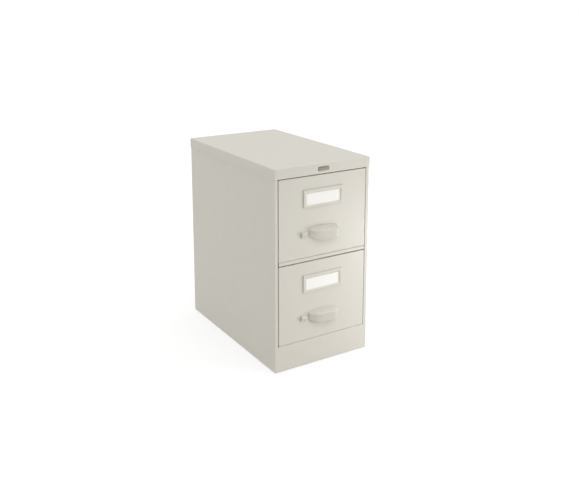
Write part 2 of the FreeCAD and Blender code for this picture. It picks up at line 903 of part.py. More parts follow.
def follower_block():
    """The plate behind the files, its foot, the key in the channel and the ears for the lever."""
    half = follower_width / 2
    back_y = follower_face + follower_foot
    pairs = [
        (follower_face + follower_edge, follower_top),
        (follower_face, follower_top),
        (follower_face, foot_low),
        (back_y, foot_low),
    ]
    plate = folded_across(pairs, frame_sheet, -half, half)
    trim_y = follower_face + follower_edge
    trim = box(
        follower_foot_width / 2, half + OVERCUT, trim_y, back_y + OVERCUT, foot_low - OVERCUT, foot_top + OVERCUT
    )
    plate = plate.cut(trim).cut(mirrored(trim))
    bend = bend_radius + frame_sheet
    edge = box(half - frame_sheet, half, follower_face + frame_sheet, trim_y, foot_top + bend, follower_top - bend)
    neck_half = channel_slot / 2 - follower_fit
    key_high = channel_top - drawer_sheet - follower_fit
    key_low = drawer_lift + 2 * drawer_sheet + follower_fit
    key_y = follower_face + follower_edge
    neck = box(-neck_half, neck_half, key_y, key_y + key_length, key_low, foot_low)
    key = box(-key_width / 2, key_width / 2, key_y, key_y + key_length, key_low, key_high)
    ear_x = ear_spread / 2
    ear = box(
        ear_x,
        ear_x + frame_sheet,
        pivot_y - ear_length / 2,
        pivot_y + ear_length / 2,
        foot_top,
        foot_top + ear_height,
    )
    rounded = [one for one in edges_along(ear, ALONG_X) if one.CenterOfMass.z > foot_top + OVERCUT]
    ear = ear.makeFillet(ear_length / 2 - ear_flat, rounded)
    pin_start = FreeCAD.Vector(-ear_x - frame_sheet, pivot_y, pivot_z)
    pin = rod(pin_radius, pin_start, ALONG_X * (ear_spread + 2 * frame_sheet))
    return fused([plate, edge, mirrored(edge), neck, key, ear, mirrored(ear), pin])


def follower_lever():
    """The release lever on the follower's pin: a barrel, a leaning arm with a finger pad, and a toe."""
    half = ear_spread / 2 - lever_clear
    centre = FreeCAD.Vector(-half, pivot_y, pivot_z)
    barrel = rod(lever_barrel, centre, ALONG_X * (2 * half))
    pairs = [
        (pivot_y, pivot_z + lever_barrel - lever_sheet),
        (pivot_y + lever_lean, pivot_z + lever_rise),
        (pivot_y + lever_lean + lever_pad, pivot_z + lever_rise),
    ]
    arm = folded_across(pairs, lever_sheet, -half, half)
    toe = box(
        -half / 2,
        half / 2,
        pivot_y - lever_sheet / 2,
        pivot_y + lever_sheet / 2,
        foot_top + lever_clear,
        pivot_z,
    )
    bore = rod(pin_radius + pin_fit, centre, ALONG_X * (2 * half))
    return fused([barrel, arm, toe]).cut(bore)


def case_nodes():
    """Every fixed piece, by name."""
    panel = side_panel()
    front_upright = upright(rail_back)
    rear_upright = upright(rear - case_sheet - bend_radius - upright_width)
    nodes = {
        "top_cap": top_cap(),
        "side_panel_right": panel,
        "side_panel_left": mirrored(panel),
        "back_panel": back_panel(),
        "base_panel": base_panel(),
        "cross_rail": cross_rail(),
        "top_header": top_header(),
        "bottom_brace": bottom_brace(),
        "front_upright_right": front_upright,
        "front_upright_left": mirrored(front_upright),
        "rear_upright_right": rear_upright,
        "rear_upright_left": mirrored(rear_upright),
        "corner_glides": corner_glides(),
        "badge_plate": badge_plate(),
        "latch_keepers": latch_keepers(),
        "drawer_buffers": drawer_buffers(),
    }
    fixed_slide = at_slide(case_slide())
    for name, base in BASES.items():
        placed = fixed_slide.translated(ALONG_Z * base)
        nodes[f"{name}_case_slide_right"] = placed
        nodes[f"{name}_case_slide_left"] = mirrored(placed)
    return nodes


def drawer_nodes():
    """Every piece of one drawer whose head starts at height zero, by name."""
    mid = at_slide(mid_slide())
    inner = at_slide(drawer_slide())
    return {
        "head": head(),
        "head_liner": head_liner(),
        "drawer_body": drawer_body(),
        "drawer_back": drawer_back(),
        "drawer_slide_right": inner,
        "drawer_slide_left": mirrored(inner),
        "mid_slide_right": mid,
        "mid_slide_left": mirrored(mid),
        "case_ball_cages": at_slide(both_sides(ball_cage(outer_cage_web, case_ball_row))),
        "drawer_ball_cages": at_slide(both_sides(ball_cage(inner_cage_web, drawer_ball_row))),
        "label_holder": label_holder(),
        "label_card": label_card(),
        "pull": pull(),
        "pull_screws": pull_screws(),
        "thumb_latch": thumb_latch(),
        "latch_bar": latch_bar(),
        "latch_spring": latch_spring(),
        "follower_rail": follower_rail(),
        "follower_block": follower_block(),
        "follower_lever": follower_lever(),
    }


os.makedirs("parts", exist_ok=True)
for node, shape in case_nodes().items():
    shape.exportStep(f"parts/{node}.step")
for node, shape in drawer_nodes().items():
    for place, base in BASES.items():
        shape.translated(ALONG_Z * base).exportStep(f"parts/{place}_{node}.step")
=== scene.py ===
"""A two-drawer filing cabinet in baked enamel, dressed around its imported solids.

The drawer fronts face -Y, +Z is up and the floor is at zero. Sizes are given in
millimetres and turned into metres where a mesh is made.
"""

import logging
import math
from dataclasses import dataclass, field
from enum import Enum

import bpy
import numpy as np
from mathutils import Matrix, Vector


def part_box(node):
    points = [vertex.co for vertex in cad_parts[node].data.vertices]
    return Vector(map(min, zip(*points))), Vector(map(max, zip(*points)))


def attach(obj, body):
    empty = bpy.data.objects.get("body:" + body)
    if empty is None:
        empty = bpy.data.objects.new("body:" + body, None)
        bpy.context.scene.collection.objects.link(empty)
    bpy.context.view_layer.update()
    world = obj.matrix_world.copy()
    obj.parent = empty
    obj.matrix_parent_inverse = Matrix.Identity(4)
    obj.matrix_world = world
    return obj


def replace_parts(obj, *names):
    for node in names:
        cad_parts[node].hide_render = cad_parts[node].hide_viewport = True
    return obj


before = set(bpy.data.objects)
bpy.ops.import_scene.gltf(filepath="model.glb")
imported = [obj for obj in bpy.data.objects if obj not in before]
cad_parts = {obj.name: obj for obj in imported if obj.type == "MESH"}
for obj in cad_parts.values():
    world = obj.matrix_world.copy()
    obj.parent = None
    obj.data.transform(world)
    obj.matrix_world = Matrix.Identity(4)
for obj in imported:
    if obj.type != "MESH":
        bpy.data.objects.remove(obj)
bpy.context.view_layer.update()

MM = 0.001
LOG = logging.getLogger("filing_cabinet")
Socket = bpy.types.NodeSocket
Object = bpy.types.Object
Material = bpy.types.Material


class Drawer(Enum):
    """The two drawers, by the first word of their pieces' names."""

    UPPER = "upper"
    LOWER = "lower"


class Side(Enum):
    """Left and right as the viewer faces the drawers."""

    LEFT = "left"
    RIGHT = "right"


def linear(hex_colour: str) -> tuple[float, float, float, float]:
    """Turn an sRGB colour into the linear one that a shader takes.

    Args:
        hex_colour: the colour, as a hash sign and six hex digits.

    Returns:
        Red, green, blue and an alpha of one.
    """
    parts = np.array([int(hex_colour[i : i + 2], 16) for i in (1, 3, 5)]) / 255
    high = ((parts + 0.055) / 1.055) ** 2.4
    red, green, blue = np.where(parts <= 0.04045, parts / 12.92, high).tolist()
    return red, green, blue, 1.0


def per_metre(spacing: float) -> float:
    """The texture scale whose features lie this many millimetres apart."""
    return 1 / (spacing * MM)


def add_node(
    tree: bpy.types.NodeTree,
    kind: str,
    inputs: dict[str | int, object] | None = None,
    **settings: object,
) -> bpy.types.Node:
    """Add a shader node with its settings, its constants and the links into it.

    Args:
        tree: the node tree of a material or world.
        kind: the node's type name.
        inputs: a constant, or another node's output, for each named or numbered input.
        settings: the node's own properties.

    Returns:
        The new node.
    """
    node = tree.nodes.new(kind)
    for name, value in settings.items():
        setattr(node, name, value)
    for key, value in (inputs or {}).items():
        if isinstance(value, Socket):
            tree.links.new(value, node.inputs[key])
        else:
            node.inputs[key].default_value = value
    return node


def new_material(name: str) -> tuple[Material, bpy.types.NodeTree]:
    """Make an empty node material.

    Args:
        name: the material's name.

    Returns:
        The material and its node tree.
    """
    material = bpy.data.materials.new(name)
    material.use_nodes = True
    material.node_tree.nodes.clear()
    return material, material.node_tree


# The Mix node repeats its input names for each kind of data, so its colours go by number
MIX_A = 6
MIX_B = 7
MIX_RESULT = 2


@dataclass(frozen=True)
class BakedEnamel:
    """Alkyd enamel sprayed on folded steel and baked: satin, with a fine orange peel.

    The eye gets soft broad reflections that waver with the sheet, a very faint
    mottle from the spray gun, and paler paint along the folds, which is partly
    worn paint and partly a painted highlight where the folds would catch the light.
    """

    name: str
    colour: str
    mottle_colour: str
    # Paler colour along the folds: partly worn paint, partly a painted highlight
    fold_wear_and_highlight_colour: str
    roughness: float = 0.42
    peel_spacing: float = 2.4
    peel_depth: float = 0.012
    sheet_spacing: float = 190.0
    sheet_depth: float = 0.5
    mottle_spacing: float = 38.0
    fold_radius: float = 1.4
    # How squarely the rounded surface faces the flat one where a fold starts and where it is full
    fold_facing: tuple[float, float] = (0.995, 0.86)
    # How far the folds go towards that paler colour, painted highlight included
    fold_wear_and_highlight_share: float = 0.7
    gloss_swing: float = 0.05

    def material(self) -> Material:
        """Build the paint. The peel is drawn at twice its real spacing, so that it shows.

        Returns:
            The material.
        """
        material, tree = new_material(self.name)
        place = add_node(tree, "ShaderNodeTexCoord").outputs["Object"]
        mottle = add_node(
            tree,
            "ShaderNodeTexNoise",
            {"Vector": place, "Scale": per_metre(self.mottle_spacing), "Detail": 4.0},
        ).outputs["Fac"]
        sheet = add_node(
            tree,
            "ShaderNodeTexNoise",
            {"Vector": place, "Scale": per_metre(self.sheet_spacing), "Detail": 1.0},
        ).outputs["Fac"]
        peel = add_node(
            tree,
            "ShaderNodeTexNoise",
            {"Vector": place, "Scale": per_metre(self.peel_spacing), "Detail": 2.0},
        ).outputs["Fac"]
        rounded = add_node(tree, "ShaderNodeBevel", {"Radius": self.fold_radius * MM}, samples=4)
        flat = add_node(tree, "ShaderNodeNewGeometry").outputs["Normal"]
        facing = add_node(
            tree,
            "ShaderNodeVectorMath",
            {0: rounded.outputs["Normal"], 1: flat},
            operation="DOT_PRODUCT",
        ).outputs["Value"]
        fold_start, fold_full = self.fold_facing
        fold = add_node(
            tree,
            "ShaderNodeMapRange",
            {
                "Value": facing,
                "From Min": fold_start,
                "From Max": fold_full,
                "To Max": self.fold_wear_and_highlight_share,
            },
        ).outputs["Result"]
        sprayed = add_node(
            tree,
            "ShaderNodeMix",
            {"Factor": mottle, MIX_A: linear(self.mottle_colour), MIX_B: linear(self.colour)},
            data_type="RGBA",
        ).outputs[MIX_RESULT]
        # Lighten the paint along the folds: partly worn paint, partly a painted highlight
        colour = add_node(
            tree,
            "ShaderNodeMix",
            {"Factor": fold, MIX_A: sprayed, MIX_B: linear(self.fold_wear_and_highlight_colour)},
            data_type="RGBA",
        ).outputs[MIX_RESULT]
        gloss = add_node(
            tree,
            "ShaderNodeMapRange",
            {
                "Value": mottle,
                "To Min": self.roughness + self.gloss_swing,
                "To Max": self.roughness - self.gloss_swing,
            },
        ).outputs["Result"]
        wavy = add_node(
            tree,
            "ShaderNodeBump",
            {"Height": sheet, "Distance": self.sheet_depth * MM, "Strength": 1.0},
        ).outputs["Normal"]
        skin = add_node(
            tree,
            "ShaderNodeBump",
            {"Height": peel, "Distance": self.peel_depth * MM, "Strength": 1.0, "Normal": wavy},
        ).outputs["Normal"]
        shader = add_node(
            tree,
            "ShaderNodeBsdfPrincipled",
            {"Base Color": colour, "Roughness": gloss, "Normal": skin, "IOR": 1.5},
        ).outputs["BSDF"]
        add_node(tree, "ShaderNodeOutputMaterial", {"Surface": shader})
        return material


@dataclass(frozen=True)
class PlatedSteel:
    """Steel with a bright metal skin, plated after it was rolled or turned.

    The eye gets a grey metal whose gloss is streaked along the rolling direction,
    with cloudy patches where the plating took unevenly.
    """

    name: str
    colour: str
    cloud_colour: str
    roughness: float
    roughness_swing: float = 0.08
    streak_spacing: float = 1.6
    streak_length: float = 60.0
    cloud_spacing: float = 9.0
    streak_depth: float = 0.01

    def material(self) -> Material:
        """Build the metal. Streaks run along Y and are drawn wider than real, so that they show.

        Returns:
            The material.
        """
        material, tree = new_material(self.name)
        place = add_node(tree, "ShaderNodeTexCoord").outputs["Object"]
        across = per_metre(self.streak_spacing)
        stretched = add_node(
            tree,
            "ShaderNodeMapping",
            {"Vector": place, "Scale": (across, per_metre(self.streak_length), across)},
        ).outputs["Vector"]
        streak = add_node(
            tree, "ShaderNodeTexNoise", {"Vector": stretched, "Scale": 1.0, "Detail": 3.0}
        ).outputs["Fac"]
        cloud = add_node(
            tree,
            "ShaderNodeTexNoise",
            {"Vector": place, "Scale": per_metre(self.cloud_spacing), "Detail": 3.0},
        ).outputs["Fac"]
        colour = add_node(
            tree,
            "ShaderNodeMix",
            {"Factor": cloud, MIX_A: linear(self.cloud_colour), MIX_B: linear(self.colour)},
            data_type="RGBA",
        ).outputs[MIX_RESULT]
        gloss = add_node(
            tree,
            "ShaderNodeMapRange",
            {
                "Value": streak,
                "To Min": self.roughness - self.roughness_swing,
                "To Max": self.roughness + self.roughness_swing,
            },
        ).outputs["Result"]
        skin = add_node(
            tree,
            "ShaderNodeBump",
            {"Height": streak, "Distance": self.streak_depth * MM, "Strength": 1.0},
        ).outputs["Normal"]
        shader = add_node(
            tree,
            "ShaderNodeBsdfPrincipled",
            {"Base Color": colour, "Metallic": 1.0, "Roughness": gloss, "Normal": skin},
        ).outputs["BSDF"]
        add_node(tree, "ShaderNodeOutputMaterial", {"Surface": shader})
        return material


@dataclass(frozen=True)
class DullSolid:
    """Card, rubber or nylon: no metal in it, and the same stuff right through.

    The eye gets a grain of the given size in both its colour and its relief.
    """

    name: str
    colour: str
    grain_colour: str
    roughness: float
    grain_spacing: float
    grain_depth: float
    ior: float = 1.5

    def material(self) -> Material:
        """Build the plain material with its grain.

        Returns:
            The material.
        """
        material, tree = new_material(self.name)
        place = add_node(tree, "ShaderNodeTexCoord").outputs["Object"]
        grain = add_node(
            tree,
            "ShaderNodeTexNoise",
            {"Vector": place, "Scale": per_metre(self.grain_spacing), "Detail": 4.0},
        ).outputs["Fac"]
        colour = add_node(
            tree,
            "ShaderNodeMix",
            {"Factor": grain, MIX_A: linear(self.grain_colour), MIX_B: linear(self.colour)},
            data_type="RGBA",
        ).outputs[MIX_RESULT]
        skin = add_node(
            tree,
            "ShaderNodeBump",
            {"Height": grain, "Distance": self.grain_depth * MM, "Strength": 1.0},
        ).outputs["Normal"]
        shader = add_node(
            tree,
            "ShaderNodeBsdfPrincipled",
            {
                "Base Color": colour,
                "Roughness": self.roughness,
                "Normal": skin,
                "IOR": self.ior,
            },
        ).outputs["BSDF"]
        add_node(tree, "ShaderNodeOutputMaterial", {"Surface": shader})
        return material


# Each enamel's last colour is its paler fold colour: partly worn paint, partly a painted highlight
CASE_ENAMEL = BakedEnamel("baked_enamel_putty", "#DAD6CC", "#D6D2C7", "#E3E0D7")
INNER_ENAMEL = BakedEnamel(
    "baked_enamel_inside", "#D2CEC1", "#CAC6B9", "#DAD7CC", roughness=0.5, sheet_depth=0.3
)
CAST_ENAMEL = BakedEnamel(
    "enamel_on_zinc_casting", "#DAD6CC", "#D6D2C7", "#E4E1D7", roughness=0.36, sheet_depth=0.0
)
ZINC = PlatedSteel("bright_zinc_plated_steel", "#C3C5C6", "#AEB1B4", 0.36)
BEARING = PlatedSteel(
    "polished_bearing_steel", "#D2D3D5", "#C4C6C9", 0.14, roughness_swing=0.04, streak_depth=0.0
)
SPRING = PlatedSteel("tempered_spring_steel", "#6E6A66", "#5A5753", 0.34)
BADGE_FIELD = PlatedSteel(
    "dark_anodised_aluminium", "#8A8579", "#807B6F", 0.42, streak_spacing=0.5, streak_depth=0.02
)
BADGE_RIM = PlatedSteel("worn_anodised_aluminium", "#7C776B", "#6C675C", 0.36, cloud_spacing=4.0)
CARD = DullSolid("index_card_stock", "#FFFEFA", "#FBFAF5", 0.85, 0.9, 0.01)
RUBBER = DullSolid("black_nitrile_rubber", "#2B2A29", "#232221", 0.72, 3.0, 0.03)
NYLON = DullSolid("natural_nylon", "#CFCABC", "#C4BFB0", 0.45, 14.0, 0.01, ior=1.53)


@dataclass
class Finishes:
    """One built material for each finish on the cabinet."""

    case_paint: Material = field(default_factory=CASE_ENAMEL.material)
    inner_paint: Material = field(default_factory=INNER_ENAMEL.material)
    cast_paint: Material = field(default_factory=CAST_ENAMEL.material)
    zinc: Material = field(default_factory=ZINC.material)
    bearing: Material = field(default_factory=BEARING.material)
    spring: Material = field(default_factory=SPRING.material)
    badge_field: Material = field(default_factory=BADGE_FIELD.material)
    badge_rim: Material = field(default_factory=BADGE_RIM.material)
    card: Material = field(default_factory=CARD.material)
    rubber: Material = field(default_factory=RUBBER.material)
    nylon: Material = field(default_factory=NYLON.material)


def dress(node: str, material: Material) -> Object:
    """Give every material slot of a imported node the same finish.

    Args:
        node: the node's name.
        material: its finish.

    Returns:
        The node's object.
    """
    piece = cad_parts[node]
    for slot in piece.material_slots:
        slot.material = material
    LOG.info("dressed %s in %s", node, material.name)
    return piece


def ring_faces(rings: int, points: int, joined: bool = False) -> list[list[int]]:
    """Quads between neighbouring rings of points, row after row.

    Args:
        rings: how many closed rings there are.
        points: how many points each ring has.
        joined: whether the last ring meets the first, instead of both being capped.

    Returns:
        The faces, with one face over each end where the rings aren't joined.
    """
    row = np.arange(rings if joined else rings - 1)[:, None]
    column = np.arange(points)[None, :]
    after_row = (row + 1) % rings
    after_column = (column + 1) % points
    quads = np.stack(
        [
            row * points + column,
            row * points + after_column,
            after_row * points + after_column,
            after_row * points + column,
        ],
        axis=-1,
    )
    faces = quads.reshape(-1, 4).tolist()
    if not joined:
        faces.append(list(range(points))[::-1])
        faces.append(list(range((rings - 1) * points, rings * points)))
    return faces


def signed_volume(points: np.ndarray, faces: list[list[int]]) -> float:
    """Six times the volume inside the faces, and negative where they point inwards.

    Each face is a fan of triangles about its first corner, and each triangle adds
    the triple product of its corners.

    Args:
        points: the points, three coordinates to a row.
        faces: the faces, each a list of its points' rows.

    Returns:
        Six times the signed volume, in the points' own unit cubed.
    """
    fans = np.array([(f[0], f[i], f[i + 1]) for f in faces for i in range(1, len(f) - 1)])
    first, second, third = (points[fans[:, i]] for i in range(3))
    return float((first * np.cross(second, third)).sum())


def make_piece(
    name: str,
    points: np.ndarray,
    faces: list[list[int]],
    material: Material,
    body: str,
    crease_degrees: float = 40.0,
) -> Object:
    """Make a closed piece at the origin, turn it right side out, and fasten it to a body.

    Args:
        name: the piece's name.
        points: its points in millimetres, three to a row.
        faces: its faces.
        material: its finish.
        body: the body that it rides on.
        crease_degrees: edges sharper than this stay sharp.

    Returns:
        The new object.
    """
    if signed_volume(points, faces) < 0:
        faces = [face[::-1] for face in faces]
    mesh = bpy.data.meshes.new(name)
    mesh.from_pydata((points * MM).tolist(), [], faces)
    mesh.validate()
    mesh.shade_smooth()
    mesh.set_sharp_from_angle(angle=math.radians(crease_degrees))
    mesh.materials.append(material)
    piece = bpy.data.objects.new(name, mesh)
    bpy.context.scene.collection.objects.link(piece)
    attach(piece, body)
    LOG.info("built %s with %d faces on %s", name, len(faces), body)
    return piece


def corners(node: str) -> tuple[np.ndarray, np.ndarray]:
    """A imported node's lowest and highest corners, in millimetres."""
    low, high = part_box(node)
    return np.array(low) / MM, np.array(high) / MM


def even_outline(
    outline: np.ndarray, count: int, stretch: tuple[float, float] = (1.0, 1.0)
) -> tuple[np.ndarray, float]:
    """Points at even steps round a closed outline, on the straight lines between its corners.

    Args:
        outline: the corners, two coordinates to a row, with the first one again at the end.
        count: how many points to make.
        stretch: what each coordinate is multiplied by when the steps are measured.

    Returns:
        The points, and the stretched outline's length.
    """
    steps = np.diff(outline * np.array(stretch), axis=0)
    knots = np.concatenate([[0], np.cumsum(np.hypot(*steps.T))])
    along = np.linspace(0, knots[-1], count, endpoint=False)
    points = np.stack([np.interp(along, knots, outline[:, i]) for i in range(2)], axis=1)
    return points, float(knots[-1])


def rounded_off(points: np.ndarray, spread: int) -> np.ndarray:
    """Round the corners of a closed run of points: each becomes the mean of its neighbourhood.

    Args:
        points: the points, one to a row, going round.
        spread: how many neighbours on each side share in a mean.

    Returns:
        The rounded points.
    """
    shifts = [np.roll(points, shift, axis=0) for shift in range(-spread, spread + 1)]
    return np.mean(shifts, axis=0)


def rounded_rectangle(
    half_width: float, half_height: float, radius: float, arc: int = 7
) -> np.ndarray:
    """Points round a rectangle: each corner's centre plus the radius turned through its quarter.

    Args:
        half_width: half the size along the first axis.
        half_height: half the size along the second axis.
        radius: the corners' radius.
        arc: the points in each corner.

    Returns:
        Two coordinates to a row, from the right side's foot and turning left.
    """
    quarter = np.linspace(0, math.pi / 2, arc)
    turns = quarter[None, :] + np.arange(4)[:, None] * math.pi / 2 - math.pi / 2
    centre_x = np.array([1, 1, -1, -1])[:, None] * (half_width - radius)
    centre_z = np.array([-1, 1, 1, -1])[:, None] * (half_height - radius)
    x = centre_x + radius * np.cos(turns)
    z = centre_z + radius * np.sin(turns)
    return np.stack([x.ravel(), z.ravel()], axis=1)


@dataclass
class BowPull:
    """The cast pull: a bowed hood whose brow slopes out from the head and whose front leans back."""

    drawer: Drawer
    half_width: float = 56.5
    projection: float = 30.0
    # The plan, left end and right end: the corner's squareness and the projection left there
    squareness: tuple[float, float] = (3.65, 6.0)
    end_share: tuple[float, float] = (0.07, 0.4)
    roundness: float = 0.62
    # Heights above the head's lower edge, and how far the ends lie below or above the middle
    crown: float = 104.5
    brow: float = 100.0
    front: float = 94.5
    foot: float = 55.5
    crown_fall: float = 6.0
    foot_rise: tuple[float, float] = (16.0, 1.0)
    brow_share: float = 0.58
    foot_share: float = 0.76
    # How much more of the projection the foot loses at the left end than at the right
    left_lean: float = 0.5
    wall: float = 10.0
    root_share: float = 0.35
    stations: int = 121
    around: int = 128
    edge_spread: int = 2

    def section(self) -> tuple[np.ndarray, np.ndarray]:
        """The hood-shaped section: the share of the projection, and the height.

        Points go round the hood's corners at even steps, and a running mean over the
        neighbours rounds the corners. The roof runs on past the head's face, so that
        its end can be cut off flat there.

        Returns:
            The share of the projection and the height, at each point.
        """
        inner = 1 - self.wall / self.projection
        hood = np.array(
            [
                [self.foot_share, self.foot],
                [1.0, self.front],
                [self.brow_share, self.brow],
                [0.0, self.crown],
                [-self.root_share, self.crown],
                [-self.root_share, self.crown - self.wall],
                [0.0, self.crown - self.wall],
                [self.brow_share, self.brow - self.wall],
                [inner, self.front - self.wall],
                [self.foot_share - self.wall / self.projection, self.foot],
                [self.foot_share, self.foot],
            ]
        )
        sharp, _ = even_outline(hood, self.around, (self.projection, 1.0))
        share, height = rounded_off(sharp, self.edge_spread).T
        return share, height

    def build(self, finishes: Finishes) -> Object:
        """Carry the section along the pull and scale it to the plan.

        The plan is a squared oval: one less a power of the share of the half width,
        raised to a power below one. Heights fall by the square of that share at the
        top and rise by it at the foot. The left end is rounder, leans back further and
        is cut away below, for the thumb on the latch.

        Args:
            finishes: the built materials.

        Returns:
            The pull.
        """
        turn = np.linspace(-math.pi / 2, math.pi / 2, self.stations)
        share = np.abs(np.sin(turn))
        end = (turn > 0).astype(int)
        squareness, end_share, foot_rise = (
            np.array(pair)[end] for pair in (self.squareness, self.end_share, self.foot_rise)
        )
        oval = np.clip(1 - share**squareness, 0, 1) ** self.roundness
        plan = end_share + (1 - end_share) * oval
        out, level = self.section()
        upper = np.clip((level - self.foot) / (self.crown - self.foot), 0, 1)[None, :]
        fall = self.crown_fall * upper - foot_rise[:, None] * (1 - upper)
        low, _ = corners(f"{self.drawer.value}_head")
        leftness = (1 - np.sin(turn)) / 2
        lean = 1 - self.left_lean * leftness[:, None] * (1 - upper)
        plan_y = self.projection * np.maximum(out, 0)[None, :] * plan[:, None] * lean
        plan_x = np.broadcast_to(self.half_width * np.sin(turn)[:, None], plan_y.shape)
        height = level[None, :] - fall * (share**2)[:, None]
        points = np.stack([plan_x, low[1] - plan_y, low[2] + height], axis=-1)
        piece = make_piece(
            f"{self.drawer.value}_bow_pull",
            points.reshape(-1, 3),
            ring_faces(self.stations, self.around),
            finishes.cast_paint,
            f"{self.drawer.value}_drawer",
        )
        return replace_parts(piece, f"{self.drawer.value}_pull")


@dataclass
class ThumbTab:
    """The latch's thumb tab: a small wedge with a dished, sloping underside."""

    drawer: Drawer
    centre: float = -79.3
    width: float = 18.5
    top: float = 92.0
    height: float = 24.0
    depth: float = 11.0
    nose: float = 5.5
    slope: float = 4.5
    foot: float = 0.8
    gap: float = 0.3
    edge: float = 1.6
    dish: float = 2.6
    dish_width: float = 8.0
    dish_height: float = 5.0
    # The dish's middle as a share of the height, and how far out it begins as a share of the depth
    dish_level: float = 0.3
    dish_start: float = 0.12
    profile_points: int = 72
    stations: int = 33
    edge_stations: int = 7

    def profile(self) -> np.ndarray:
        """The outline from the side, out from the head and upwards.

        Points go round the wedge's five corners at even steps, and a running mean
        over the neighbours rounds the corners.

        Returns:
            Distance out and height above the tab's foot, two to a row.
        """
        nose_top = self.height - self.slope
        wedge = np.array(
            [
                [0.0, 0.0],
                [self.foot, 0.0],
                [self.depth, nose_top - self.nose],
                [self.depth, nose_top],
                [0.0, self.height],
                [0.0, 0.0],
            ]
        )
        sharp, length = even_outline(wedge, self.profile_points)
        return rounded_off(sharp, max(1, round(self.edge * self.profile_points / length)))

    def build(self, finishes: Finishes) -> Object:
        """Carry the profile across the tab, drawn in at both ends by a quarter round.

        The dish is a bell-shaped hollow taken out of the sloping face.

        Args:
            finishes: the built materials.

        Returns:
            The tab.
        """
        low, _ = corners(f"{self.drawer.value}_head")
        turn = np.linspace(0, math.pi / 2, self.edge_stations)
        rounding = self.edge * (1 - np.sin(turn))
        inset = self.edge * (1 - np.cos(turn))
        middle = np.linspace(inset[-1], self.width - inset[-1], self.stations)[1:-1]
        x = np.concatenate([inset, middle, (self.width - inset)[::-1]])
        shrink = np.concatenate([rounding, np.zeros(len(middle)), rounding[::-1]])
        outline = self.profile()
        half = np.array([self.depth / 2, self.height / 2])
        scale = (half[None, :] - shrink[:, None]) / half[None, :]
        rings = half[None, None, :] + (outline[None, :, :] - half) * scale[:, None, :]
        out, up = rings[..., 0], rings[..., 1]
        across = x[:, None] - self.width / 2
        above = up - self.height * self.dish_level
        bell = np.exp(-((across / self.dish_width) ** 2) - (above / self.dish_height) ** 2)
        out = out - self.dish * bell * (out > self.depth * self.dish_start)
        points = np.stack(
            [
                np.broadcast_to(self.centre + across, out.shape),
                low[1] - self.gap - out,
                low[2] + self.top - self.height + up,
            ],
            axis=-1,
        )
        piece = make_piece(
            f"{self.drawer.value}_thumb_tab",
            points.reshape(-1, 3),
            ring_faces(len(x), self.profile_points),
            finishes.cast_paint,
            f"{self.drawer.value}_latch",
        )
        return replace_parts(piece, f"{self.drawer.value}_thumb_latch")


